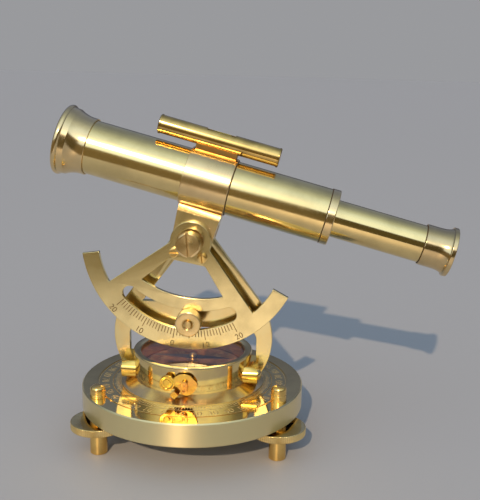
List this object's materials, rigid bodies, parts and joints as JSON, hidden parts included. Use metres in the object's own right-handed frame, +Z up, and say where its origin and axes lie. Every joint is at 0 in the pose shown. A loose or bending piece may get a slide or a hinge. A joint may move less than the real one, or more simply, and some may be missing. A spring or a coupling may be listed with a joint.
{
  "type": "clinometer telescope on compass base",
  "caption": "Small brass sighting telescope with level and clinometer arc on a yoke, standing on a compass box over a round base with levelling feet.",
  "frame": {"origin": "on the surface the feet stand on, at the axis of the round base", "axes": "+X along the telescope towards the eyepiece, +Y away from the graduated side of the clinometer arc, +Z up along the azimuth axis"},
  "size_m": [0.1794, 0.109, 0.152],
  "materials": {
    "polished_brass": "polished",
    "satin_brass": "satin",
    "steel": "blued",
    "card": "aged copper",
    "compass_glass": "clear",
    "lens_glass": "clear",
    "vial_glass": "clear, filled"
  },
  "bodies": {
    "base": {"base_plate": "polished_brass"},
    "foot_1": {"foot_post_1": "satin_brass"},
    "screw_1": {"levelling_stem_1": "polished_brass", "levelling_knob_1": "satin_brass"},
    "foot_2": {"foot_post_2": "satin_brass"},
    "screw_2": {"levelling_stem_2": "polished_brass", "levelling_knob_2": "satin_brass"},
    "foot_3": {"foot_post_3": "satin_brass"},
    "screw_3": {"levelling_stem_3": "polished_brass", "levelling_knob_3": "satin_brass"},
    "head": {"azimuth_plate": "polished_brass", "spindle": "satin_brass", "spindle_washer": "steel", "spindle_nut": "satin_brass", "compass_seat_ring": "polished_brass", "compass_box": "polished_brass", "compass_card": "card", "needle_pin": "satin_brass", "compass_glass": "compass_glass", "compass_bezel": "polished_brass", "lug_left": "satin_brass", "lug_right": "satin_brass", "lug_screws": "satin_brass", "yoke": "polished_brass", "pivot_screw": "satin_brass", "pivot_washer": "satin_brass", "pivot_nut": "satin_brass", "clamp_stud": "satin_brass"},
    "needle": {"compass_needle": "steel", "needle_cap": "satin_brass"},
    "lifter": {"needle_lifter": "satin_brass"},
    "lock": {"lock_lever": "satin_brass", "lock_pin": "satin_brass"},
    "clamp_slider": {"clamp_washer": "satin_brass"},
    "clamp_nut": {"clamp_knob": "satin_brass"},
    "telescope": {"clinometer_arc": "polished_brass", "arc_screws": "satin_brass", "tube_lug": "satin_brass", "strap_collar": "polished_brass", "main_tube": "polished_brass", "objective_cap": "satin_brass", "objective_lens": "lens_glass", "lens_retaining_ring": "satin_brass", "tube_end_ring": "satin_brass", "draw_tube_guide": "satin_brass", "level_saddle": "satin_brass", "level_case": "polished_brass", "level_vial": "vial_glass", "level_end_caps": "satin_brass"},
    "draw": {"draw_tube": "polished_brass", "draw_stop_ring": "satin_brass", "reticle_ring": "satin_brass", "eyepiece": "satin_brass", "eye_lens": "lens_glass", "field_lens": "lens_glass"}
  },
  "joints": [
    {"name": "foot_1_travel", "type": "slide", "parent": "base", "child": "foot_1", "axis": [0, 0, 1], "range_m": [-0.004, 0.0008]},
    {"name": "screw_1_turn", "type": "hinge", "parent": "foot_1", "child": "screw_1", "pos_m": [-0.00345, 0.04587, 0.0139], "axis": [0, 0, 1], "range_deg": [-1441, 289]},
    {"name": "foot_2_travel", "type": "slide", "parent": "base", "child": "foot_2", "axis": [0, 0, 1], "range_m": [-0.004, 0.0008]},
    {"name": "screw_2_turn", "type": "hinge", "parent": "foot_2", "child": "screw_2", "pos_m": [-0.038, -0.02592, 0.0139], "axis": [0, 0, 1], "range_deg": [-1441, 289]},
    {"name": "foot_3_travel", "type": "slide", "parent": "base", "child": "foot_3", "axis": [0, 0, 1], "range_m": [-0.004, 0.0008]},
    {"name": "screw_3_turn", "type": "hinge", "parent": "foot_3", "child": "screw_3", "pos_m": [0.04145, -0.01995, 0.0139], "axis": [0, 0, 1], "range_deg": [-1441, 289]},
    {"name": "azimuth", "type": "hinge", "parent": "base", "child": "head", "pos_m": [0, 0, 0.0272], "axis": [0, 0, 1], "continuous": true},
    {"name": "needle_swing", "type": "hinge", "parent": "head", "child": "needle", "pos_m": [0, 0, 0.03765], "axis": [0, 0, 1], "continuous": true},
    {"name": "lock_turn", "type": "hinge", "parent": "head", "child": "lock", "pos_m": [0.0012, -0.027, 0.0349], "axis": [0, 1, 0], "range_deg": [-0.2, 30.2]},
    {"name": "lifter_rise", "type": "slide", "parent": "head", "child": "lifter", "axis": [0, 0, 1], "range_m": [0, 0.00045]},
    {"name": "clamp_travel", "type": "slide", "parent": "head", "child": "clamp_slider", "axis": [0, -1, 0], "range_m": [0, 0.0008]},
    {"name": "clamp_turn", "type": "hinge", "parent": "clamp_slider", "child": "clamp_nut", "pos_m": [0, -0.012, 0.0581], "axis": [0, -1, 0], "range_deg": [-1, 361]},
    {"name": "altitude", "type": "hinge", "parent": "head", "child": "telescope", "pos_m": [0, 0, 0.0938], "axis": [0, 1, 0], "range_deg": [-47, 27.5]},
    {"name": "draw_slide", "type": "slide", "parent": "telescope", "child": "draw", "axis": [0.9681, 0, -0.2504], "range_m": [-0.039, 0.0075]}
  ],
  "couplings": [
    {"joint": "screw_1_turn", "follows": "foot_1_travel", "rad_per_m": 6283.2},
    {"joint": "screw_2_turn", "follows": "foot_2_travel", "rad_per_m": 6283.2},
    {"joint": "screw_3_turn", "follows": "foot_3_travel", "rad_per_m": 6283.2},
    {"joint": "lock_turn", "follows": "lifter_rise", "rad_per_m": 1163.6},
    {"joint": "clamp_turn", "follows": "clamp_travel", "rad_per_m": 7854}
  ]
}
